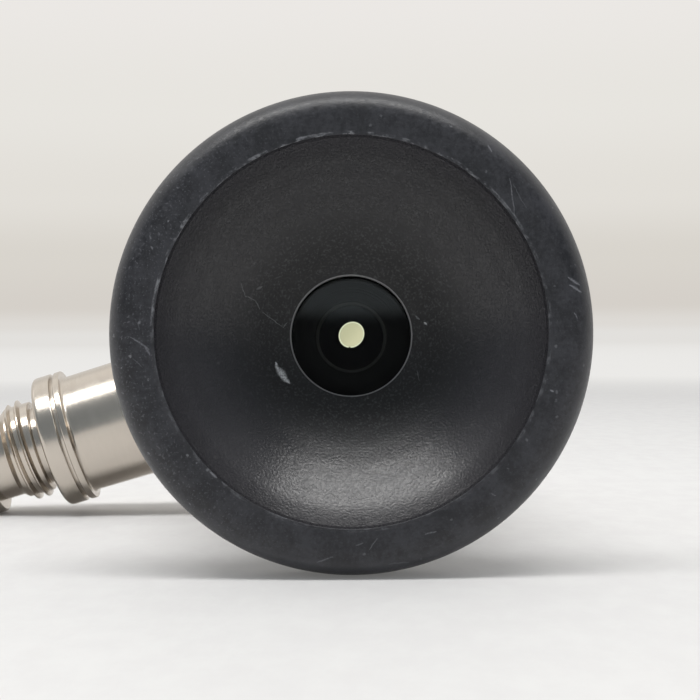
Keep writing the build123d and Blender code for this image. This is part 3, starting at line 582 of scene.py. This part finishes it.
def lit_lens():
    """Crown lens: dark coated glass, whose front glows with a painted image of the optics: emission
    in place of the light that comes through the scope.
    """
    material, tree, shader = new_material("lit_lens", ior=1.45)
    position = place(tree, CUP_AXES)
    split = add(tree, "ShaderNodeSeparateXYZ", {0: position})
    shifted = vector_calc(tree, "SUBTRACT", position, (IMAGE_CENTRE[0], 0, IMAGE_CENTRE[1]))
    lean = {"Vector": shifted, "Angle": IMAGE_LEAN}
    leaned = add(tree, "ShaderNodeVectorRotate", lean, rotation_type="Y_AXIS").outputs[0]
    stretch = (1 / IMAGE_HALF_AXES[0], 0, 1 / IMAGE_HALF_AXES[1])
    oval = vector_calc(tree, "LENGTH", scaled(tree, leaned, stretch), output=1)
    flat = scaled(tree, shifted, (1, 0, 1))
    notch = vector_calc(tree, "SUBTRACT", flat, (NOTCH_CENTRE[0], 0, NOTCH_CENTRE[1]))
    notch = vector_calc(tree, "LENGTH", notch, output=1)
    in_front = calc(tree, "LESS_THAN", split.outputs[1], IMAGE_STATION)
    inside = calc(tree, "MULTIPLY", spread(tree, oval, 0.985, 1.015, 1.0, 0.0), in_front)
    beyond_notch = spread(tree, notch, NOTCH_RADIUS * 0.7, NOTCH_RADIUS * 1.3)
    inside = calc(tree, "MULTIPLY", inside, beyond_notch)
    slope = calc(tree, "SUBTRACT", split.outputs[0], calc(tree, "MULTIPLY", split.outputs[2], 0.8))
    slope = spread(tree, slope, -0.9, 0.9)
    cloud = noise(tree, position, 1.6, 2.0, 0.5)
    colour = blend_colours(tree, slope, (0.570, 0.550, 0.350, 1), (0.720, 0.680, 0.440, 1))
    colour = blend_colours(tree, calc(tree, "MULTIPLY", cloud, 0.2), colour, (0.62, 0.60, 0.38, 1))
    ring = band(tree, oval, 0.90, 1.1, 0.02)
    colour = blend_colours(tree, ring, colour, (0.79, 0.80, 0.56, 1))
    line = band(tree, oval, 0.86, 0.89, 0.015)
    colour = blend_colours(tree, calc(tree, "MULTIPLY", line, 0.25), colour, (0.40, 0.39, 0.24, 1))
    wire(tree, blend_colours(tree, inside, (0, 0, 0, 1), colour), shader.inputs["Emission Color"])
    shader.inputs["Emission Strength"].default_value = 1.0
    dark = blend_colours(tree, cloud, (0.0020, 0.0022, 0.0030, 1), (0.0035, 0.0037, 0.0048, 1))
    wire(tree, dark, shader.inputs["Base Color"])
    wire(tree, spread(tree, cloud, 0.4, 0.7, 0.05, 0.09), shader.inputs["Roughness"])
    return material


def fibre_ends():
    """Polished ends of the glass fibres: a dense field of tiny pale dots."""
    material, tree, shader = new_material("fibre_ends", ior=1.5)
    position = place(tree, BODY_AXES)
    cells = add(tree, "ShaderNodeTexVoronoi", {"Vector": position, "Scale": 14.0})
    dot = spread(tree, cells.outputs["Distance"], 0.25, 0.55, 1.0, 0.0)
    level = add(tree, "ShaderNodeSeparateColor", {0: cells.outputs["Color"]}).outputs[0]
    pale = blend_colours(tree, level, (0.34, 0.30, 0.20, 1), (0.74, 0.68, 0.50, 1))
    wire(tree, blend_colours(tree, dot, (0.07, 0.06, 0.045, 1), pale), shader.inputs["Base Color"])
    wire(tree, spread(tree, level, 0.0, 1.0, 0.08, 0.25), shader.inputs["Roughness"])
    return material


# Steel where it is clean and where it is wiped dull
POST_BRIGHT = (0.645, 0.59, 0.525, 1)
POST_DULL = (0.60, 0.545, 0.48, 1)
BODY_BRIGHT = (0.655, 0.62, 0.58, 1)
BODY_DULL = (0.605, 0.57, 0.53, 1)
TUBE_DULL = (0.45, 0.44, 0.42, 1)

CUP_BOWL = cup_bowl()
CUP_RIM = cup_rim()
CUP_BACK = cup_back()
POST_STEEL = turned_steel("post_steel", POST_AXES, POST_BRIGHT, POST_DULL, 0.21, 9.0)
BODY_STEEL = turned_steel("body_steel", BODY_AXES, BODY_BRIGHT, BODY_DULL, 0.24, 7.0)
SHAFT_STEEL = drawn_steel("shaft_steel", BODY_AXES, BODY_BRIGHT, BODY_DULL, 0.27)
TUBE_STEEL = drawn_steel("tube_steel", BODY_AXES, BODY_DULL, TUBE_DULL, 0.35)
INNER_BLACK = black_finish("inner_black")
SEAL = seal_rubber()
BRASS = turned_brass()
WINDOW_GLASS = clear_glass("window_glass", 1.38, (0.93, 0.97, 0.97, 1), 0.35)
FLINT_GLASS = clear_glass("flint_glass", 1.52, (0.97, 0.98, 0.97, 1))
ROD_GLASS = clear_glass("rod_glass", 1.62, (0.95, 0.98, 0.97, 1), 0.0, BODY_AXES)
LIT_LENS = lit_lens()
FIBRES = fibre_ends()


# Turned pieces
DEGREES_PER_FACET = 5
LONGEST_EDGE = 0.9
MOST_CUTS = 8
SHARP_ANGLE = math.radians(32)
CUP_STEPS = 256
POST_STEPS = 144


def rounding(before, corner, after, radius):
    """How far back from a corner a round of this radius starts, and the steps that draw it."""
    arriving = (Vector(corner) - Vector(before)).normalized()
    leaving = (Vector(after) - Vector(corner)).normalized()
    turn = arriving.angle(leaving)
    return radius * math.tan(turn / 2), max(3, round(math.degrees(turn) / DEGREES_PER_FACET))


def draw_outline(corners, closed):
    """The half section of a turned piece as edges.

    A corner is (radius, station), or (radius, station, round) where it is rounded.
    """
    sketch = bmesh.new()
    points = [sketch.verts.new((corner[0], corner[1], 0)) for corner in corners]
    pairs = list(zip(points, points[1:]))
    if closed:
        pairs.append((points[-1], points[0]))
    for pair in pairs:
        sketch.edges.new(pair)
    count = len(corners)
    for index, corner in enumerate(corners):
        if len(corner) == 3:
            before = corners[index - 1][:2]
            after = corners[(index + 1) % count][:2]
            back, steps = rounding(before, corner[:2], after, corner[2])
            bmesh.ops.bevel(
                sketch,
                geom=[points[index]],
                offset=back,
                offset_type="OFFSET",
                segments=steps,
                profile=0.5,
                affect="VERTICES",
                material=-1,
            )
    bmesh.ops.remove_doubles(sketch, verts=sketch.verts, dist=0.001)
    for edge in list(sketch.edges):
        cuts = min(MOST_CUTS, int(edge.calc_length() / LONGEST_EDGE))
        if cuts:
            bmesh.ops.subdivide_edges(sketch, edges=[edge], cuts=cuts)
    return sketch


def finish_piece(shape, name, frame_axes, materials, node):
    """Turns a shape in millimetres into a piece of the part that stands for a CAD node."""
    bmesh.ops.remove_doubles(shape, verts=shape.verts, dist=0.0005)
    bmesh.ops.recalc_face_normals(shape, faces=shape.faces)
    shape.transform(frame_axes)
    mesh = bpy.data.meshes.new(name)
    shape.to_mesh(mesh)
    shape.free()
    for material in materials:
        mesh.materials.append(material)
    mesh.shade_smooth()
    mesh.set_sharp_from_angle(angle=SHARP_ANGLE)
    piece = bpy.data.objects.new(name, mesh)
    bpy.context.scene.collection.objects.link(piece)
    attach(piece, "root")
    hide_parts(node)


def spin_full(shape, steps):
    """Spins everything drawn so far once round the y axis and merges the end of the spin onto its
    start.
    """
    bmesh.ops.spin(
        shape,
        geom=shape.verts[:] + shape.edges[:],
        cent=(0, 0, 0),
        axis=(0, 1, 0),
        dvec=(0, 0, 0),
        angle=math.tau,
        steps=steps,
        use_merge=True,
    )


# Eyecup: front rim, bowl, eye bore, and the screwed neck behind
CUP_OUTLINE = [
    (12.775, 0.0, 0.05),
    (15.872, 0.0, 1.8),
    (15.872, 5.0, 0.8),
    (10.39, 10.485, 3.0),
    (10.39, 19.0, 0.1),
    (8.14, 19.0),
    (8.14, 13.0),
    (6.54, 13.0),
    (6.54, 8.6),
    (4.14, 8.6, 0.05),
    (4.14, 7.74, 0.03),
    (4.21, 7.653),
    (9.5002, 5.1192, 20.39),
    (12.625, 0.3, 0.03),
]
MOUTH_RADIUS = 12.7  # the bowl's material starts inside this radius
BORE_END = 8.55  # and ends at this station
RIM_END = 5.6  # station where the rim's material ends


def make_eyecup():
    """The black cup, with its bowl, rim and back in their own materials."""
    shape = draw_outline(CUP_OUTLINE, closed=True)
    spin_full(shape, CUP_STEPS)
    for face in shape.faces:
        centre = face.calc_center_median()
        radius = math.hypot(centre.x, centre.z)
        if radius < MOUTH_RADIUS and centre.y < BORE_END:
            face.material_index = 0
        elif centre.y < RIM_END:
            face.material_index = 1
        else:
            face.material_index = 2
    materials = [CUP_BOWL, CUP_RIM, CUP_BACK]
    finish_piece(shape, "cup_shell", CUP_AXES, materials, "eyecup")


# Screwed end of the light post, with a real thread
THREAD_CREST = 4.525
THREAD_ROOT = 4.10
THREAD_START = 29.05
THREAD_END = 30.75
THREAD_PITCH = 0.9
THREAD_TURNS = 2.2
STEPS_PER_TURN = 100
CORE_END = 31.27
CREST_FLAT = 0.10
RIDGE_FOOT = 0.62
SUNK = 0.06  # how far the ridge's foot lies inside the core
LEAD_SLOPE = 0.8  # fall of the lead in beyond the thread, radius for each mm of station
RUN_IN_SLOPE = 9.0
RUN_OUT_SLOPE = 2.5
RUN_OUT_REACH = 0.3
SCREW_OUTLINE = [
    (1.64, 20.0),
    (4.0, 20.0),
    (4.0, 26.15),
    (5.45, 26.15),
    (5.45, 26.45),
    (5.9, 26.45, 0.15),
    (5.9, 28.15, 0.45),
    (3.475, 28.15, 0.10),
    (3.475, 29.05, 0.10),
    (THREAD_ROOT, 29.05, 0.10),
    (THREAD_ROOT, CORE_END),
    (3.725, 31.75, 0.15),
    (3.725, 33.6),
    (3.005, 33.6),
    (3.005, 34.6),
    (2.655, 34.6, 0.05),
    (2.655, 35.2, 0.05),
    (3.005, 35.2, 0.05),
    (3.005, 39.8, 0.05),
    (2.605, 40.2, 0.05),
    (2.04, 40.2, 0.04),
    (2.04, 39.25),
    (1.64, 39.25),
]


def add_thread(shape):
    """A helical ridge round the thread's core, run out at both ends and cut back by the lead."""
    steps = round(STEPS_PER_TURN * THREAD_TURNS)
    foot = THREAD_ROOT - SUNK
    first = THREAD_START + SUNK
    half_flat = CREST_FLAT / 2
    middle = first + RIDGE_FOOT / 2
    section = [
        (foot, middle - RIDGE_FOOT / 2),
        (THREAD_CREST, middle - half_flat),
        (THREAD_CREST, middle + half_flat),
        (foot, middle + RIDGE_FOOT / 2),
    ]
    ridge = bmesh.new()
    points = [ridge.verts.new((radius, station, 0)) for radius, station in section]
    ridge.faces.new(points)
    bmesh.ops.spin(
        ridge,
        geom=ridge.faces[:],
        cent=(0, 0, 0),
        axis=(0, 1, 0),
        dvec=(0, THREAD_PITCH * THREAD_TURNS / steps, 0),
        angle=math.tau * THREAD_TURNS,
        steps=steps,
        use_merge=False,
    )
    last = middle + THREAD_PITCH * THREAD_TURNS
    for vert in ridge.verts:
        radius = math.hypot(vert.co.x, vert.co.z)
        lead = THREAD_CREST - max(0.0, vert.co.y - THREAD_END) * LEAD_SLOPE
        run_in = foot + max(0.0, vert.co.y - first) * RUN_IN_SLOPE
        run_out = foot + max(0.0, last + RUN_OUT_REACH - vert.co.y) * RUN_OUT_SLOPE
        cone = THREAD_ROOT - max(0.0, vert.co.y - CORE_END) * LEAD_SLOPE
        limit = max(min(foot, cone - SUNK), min(lead, run_in, run_out))
        if radius > limit:
            vert.co.x *= limit / radius
            vert.co.z *= limit / radius
    mesh = bpy.data.meshes.new("ridge")
    ridge.to_mesh(mesh)
    ridge.free()
    shape.from_mesh(mesh)
    bpy.data.meshes.remove(mesh)


def make_post_screw():
    """Connector of the light post, from its collar to its tip."""
    shape = draw_outline(SCREW_OUTLINE, closed=True)
    spin_full(shape, POST_STEPS)
    add_thread(shape)
    finish_piece(shape, "post_screw", POST_AXES, [POST_STEEL], "post_connector")


BARREL_OUTLINE = [
    (1.64, 7.9),
    (4.6, 7.9),
    (4.6, 11.5),
    (5.45, 11.5, 0.05),
    (5.25, 25.55, 0.30),
    (5.9, 25.55, 0.08),
    (5.9, 26.15, 0.15),
    (4.02, 26.15),
    (4.02, 20.0),
    (1.64, 20.0),
]


def make_post_tube():
    """Barrel of the light post, slightly tapered, with a ring at its screwed end."""
    shape = draw_outline(BARREL_OUTLINE, closed=True)
    spin_full(shape, POST_STEPS)
    finish_piece(shape, "post_tube", POST_AXES, [POST_STEEL], "post_barrel")


make_eyecup()
make_post_screw()
make_post_tube()


# Materials on the CAD pieces that stay
FINISHES = {
    "eyecup_gasket": SEAL,
    "ocular_body": BODY_STEEL,
    "window_cell": TUBE_STEEL,
    "ocular_window": WINDOW_GLASS,
    "ocular_cell": INNER_BLACK,
    "ocular_crown_lens": LIT_LENS,
    "ocular_flint_lens": FLINT_GLASS,
    "ocular_spacer": INNER_BLACK,
    "field_stop": INNER_BLACK,
    "field_stop_ring": INNER_BLACK,
    "tube_bush": BRASS,
    "main_housing": BODY_STEEL,
    "post_ring": POST_STEEL,
    "light_ferrule": TUBE_STEEL,
    "light_window": ROD_GLASS,
    "light_fibres": FIBRES,
    "sheath_lock": BODY_STEEL,
    "index_pin": BODY_STEEL,
    "outer_tube": SHAFT_STEEL,
    "inner_tube": TUBE_STEEL,
    "tip_window": ROD_GLASS,
    "tip_prism": ROD_GLASS,
    "objective_front_lens": ROD_GLASS,
    "objective_spacer": TUBE_STEEL,
    "objective_rear_lens": ROD_GLASS,
    "relay_end_spacer": TUBE_STEEL,
}
ROD_COUNT = 7
for number in range(1, ROD_COUNT + 1):
    FINISHES[f"rod_lens_{number}"] = ROD_GLASS
for number in range(1, ROD_COUNT):
    FINISHES[f"rod_spacer_{number}"] = TUBE_STEEL

for name, material in FINISHES.items():
    mesh = nodes[name].data
    mesh.materials.clear()
    mesh.materials.append(material)


# Table, room and lamps
TABLE_SIDE = 24.0
FADE_START = 0.12  # distance from the middle where the table starts to fade, in metres
FADE_END = 0.38
FAR_REACH = 3.0


def table_paint():
    """Pale matt table top, faintly cloudy. Far from the part it fades into the pale room."""
    material, tree, shader = new_material("table_paint", roughness=0.62)
    spot = add(tree, "ShaderNodeTexCoord").outputs["Object"]
    cloud = noise(tree, spot, 26.0, 4.0, 0.6)
    fibre = noise(tree, scaled(tree, spot, (1, 0.45, 1)), 420.0, 4.0, 0.65)
    share = spread(tree, even_mix(tree, fibre, cloud, 0.75), 0.35, 0.65)
    colour = blend_colours(tree, share, (0.710, 0.703, 0.708, 1), (0.745, 0.743, 0.743, 1))
    wire(tree, colour, shader.inputs["Base Color"])
    set_bump(tree, shader, fibre, 0.05)
    reach = vector_calc(tree, "LENGTH", spot, output=1)
    far = spread(tree, reach, FADE_START, FADE_END)
    farthest = spread(tree, reach, FADE_END, FAR_REACH)
    fade = blend_colours(tree, farthest, (0.83, 0.82, 0.80, 1), (0.76, 0.745, 0.72, 1))
    glow = add(tree, "ShaderNodeEmission", {"Color": fade}).outputs[0]
    seen = calc(tree, "MULTIPLY", far, looking(tree))
    mixed = add(tree, "ShaderNodeMixShader", {0: seen, 1: shader.outputs[0], 2: glow}).outputs[0]
    wire(tree, mixed, tree.nodes["Material Output"].inputs["Surface"])
    return material


def looking(tree):
    """1 for rays that look, from the camera, off polish or through glass. 0 for all others."""
    path = add(tree, "ShaderNodeLightPath").outputs
    polished = calc(tree, "MAXIMUM", path["Is Glossy Ray"], path["Is Transmission Ray"])
    return calc(tree, "MAXIMUM", polished, path["Is Camera Ray"])


def make_table():
    """The table that the part lies on."""
    shape = bmesh.new()
    bmesh.ops.create_grid(shape, x_segments=2, y_segments=2, size=TABLE_SIDE / 2)
    mesh = bpy.data.meshes.new("table")
    shape.to_mesh(mesh)
    shape.free()
    mesh.materials.append(table_paint())
    table = bpy.data.objects.new("table", mesh)
    bpy.context.scene.collection.objects.link(table)


# Level of the wall behind, from the horizon up: height of the ray, red, green, blue
WALL_LEVELS = [
    (0.000, 0.760, 0.745, 0.720),
    (0.006, 0.725, 0.700, 0.665),
    (0.017, 0.665, 0.630, 0.585),
    (0.045, 0.690, 0.660, 0.610),
    (0.080, 0.760, 0.735, 0.690),
    (0.130, 0.800, 0.780, 0.740),
    (0.200, 0.835, 0.810, 0.785),
]
FRONT_ROOM = (0.24, 0.265, 0.285, 1)
BACK_ROOM = (0.80, 0.78, 0.75, 1)


def make_room():
    """The room: dim and cool in front, pale behind. The camera sees its far wall."""
    world = bpy.data.worlds.new("room")
    bpy.context.scene.world = world
    world.use_nodes = True
    tree = world.node_tree
    sky = tree.nodes["Background"]
    way = add(tree, "ShaderNodeTexCoord").outputs["Generated"]
    ways = add(tree, "ShaderNodeSeparateXYZ", {0: way})
    height = ways.outputs[2]
    wall = WALL_LEVELS[0][1:] + (1,)
    for lower, upper in zip(WALL_LEVELS, WALL_LEVELS[1:]):
        share = spread(tree, height, lower[0], upper[0])
        wall = blend_colours(tree, share, wall, upper[1:] + (1,))
    behind = spread(tree, ways.outputs[1], -0.35, 0.45)
    room = blend_colours(tree, behind, FRONT_ROOM, BACK_ROOM)
    seen = add(tree, "ShaderNodeLightPath").outputs["Is Camera Ray"]
    wire(tree, blend_colours(tree, seen, room, wall), sky.inputs["Color"])
    sky.inputs["Strength"].default_value = 1.0


# Card that stands just behind the camera, as the photographer's own shape does
CARD_WIDTH = 0.085
CARD_HEIGHT = 0.156
CARD_BEHIND = 0.004
CARD_LIFT = 0.0005
PORT_HALF_WIDTH = 0.015
PORT_TOP = 0.0282


def card_paint(camera_x):
    """Blue-grey card with a black port round the camera."""
    material, tree, shader = new_material("card_paint", roughness=0.8)
    spot = add(tree, "ShaderNodeTexCoord").outputs["Object"]
    split = add(tree, "ShaderNodeSeparateXYZ", {0: spot})
    beside = calc(tree, "ABSOLUTE", calc(tree, "SUBTRACT", split.outputs[0], camera_x))
    between = spread(tree, beside, PORT_HALF_WIDTH, PORT_HALF_WIDTH + 0.002, 1.0, 0.0)
    below = spread(tree, split.outputs[2], PORT_TOP - 0.001, PORT_TOP + 0.002, 1.0, 0.0)
    port = calc(tree, "MULTIPLY", between, below)
    cloud = noise(tree, spot, 18.0, 3.0, 0.6)
    colour = blend_colours(tree, cloud, (0.35, 0.385, 0.40, 1), (0.39, 0.43, 0.445, 1))
    colour = blend_colours(tree, port, colour, (0.004, 0.004, 0.006, 1))
    wire(tree, colour, shader.inputs["Emission Color"])
    shader.inputs["Emission Strength"].default_value = 1.0
    wire(tree, blend_colours(tree, cloud, grey(0.01), grey(0.02)), shader.inputs["Base Color"])
    return material


def make_card(camera_x, camera_y):
    """The card. It shows in polish and glass, but not to the camera, and gives no shadow."""
    shape = bmesh.new()
    bmesh.ops.create_grid(shape, x_segments=1, y_segments=1, size=0.5)
    bmesh.ops.scale(shape, vec=(CARD_WIDTH, CARD_HEIGHT, 1), verts=shape.verts)
    bmesh.ops.rotate(shape, matrix=Matrix.Rotation(math.pi / 2, 3, "X"), verts=shape.verts)
    middle = (camera_x, camera_y - CARD_BEHIND, CARD_HEIGHT / 2 + CARD_LIFT)
    bmesh.ops.translate(shape, vec=middle, verts=shape.verts)
    mesh = bpy.data.meshes.new("card")
    shape.to_mesh(mesh)
    shape.free()
    mesh.materials.append(card_paint(camera_x))
    card = bpy.data.objects.new("card", mesh)
    card.visible_camera = False
    card.visible_diffuse = False
    card.visible_shadow = False
    bpy.context.scene.collection.objects.link(card)


# Lamps: name, place across and along, width, depth, power in watts
LAMP_HEIGHT = 0.60
LAMP_COLOUR = (1.0, 0.99, 0.97)
LAMPS = [
    ("ceiling_strip", -0.050, -0.315, 0.66, 0.19, 3.35),
    ("back_panel", 0.0, 0.15, 0.90, 0.60, 0.30),
    ("left_panel", -0.62, -0.06, 0.40, 0.70, 0.50),
    ("right_panel", 0.60, -0.06, 0.40, 0.70, 0.30),
]


def make_lamp(name, across, along, width, depth, power):
    """A soft panel lamp overhead, facing straight down."""
    light = bpy.data.lights.new(name, "AREA")
    light.shape = "RECTANGLE"
    light.size = width
    light.size_y = depth
    light.energy = power
    light.color = LAMP_COLOUR
    lamp = bpy.data.objects.new(name, light)
    lamp.location = (across, along, LAMP_HEIGHT)
    bpy.context.scene.collection.objects.link(lamp)


# Camera, from the fit to the photograph
CAMERA_DISTANCE = 0.1114
CAMERA_HEIGHT = 0.01585
FOCAL_PIXELS = 1725.0
FRAME_PIXELS = 700
TILT_PIXELS = 15.5
PAN_PIXELS = 1.3
ROLL = math.radians(-0.35)
SENSOR_WIDTH = 36.0


def make_camera():
    """Camera in front of the eyecup, looking along the table and a little down."""
    data = bpy.data.cameras.new("camera")
    data.sensor_width = SENSOR_WIDTH
    data.lens = FOCAL_PIXELS * SENSOR_WIDTH / FRAME_PIXELS
    data.clip_start = 0.005
    data.clip_end = 100.0
    camera = bpy.data.objects.new("camera", data)
    pan = Matrix.Rotation(PAN_PIXELS / FOCAL_PIXELS, 3, "Z")
    tilt = Matrix.Rotation(math.pi / 2 - TILT_PIXELS / FOCAL_PIXELS, 3, "X")
    roll = Matrix.Rotation(ROLL, 3, "Z")
    camera.rotation_euler = (pan @ tilt @ roll).to_euler()
    camera.location = (rim_centre.x, rim_centre.y - CAMERA_DISTANCE, CAMERA_HEIGHT)
    bpy.context.scene.collection.objects.link(camera)
    bpy.context.scene.camera = camera


make_table()
make_room()
make_card(rim_centre.x, rim_centre.y - CAMERA_DISTANCE)
for lamp in LAMPS:
    make_lamp(*lamp)
make_camera()
bpy.context.scene.view_settings.view_transform = "Standard"
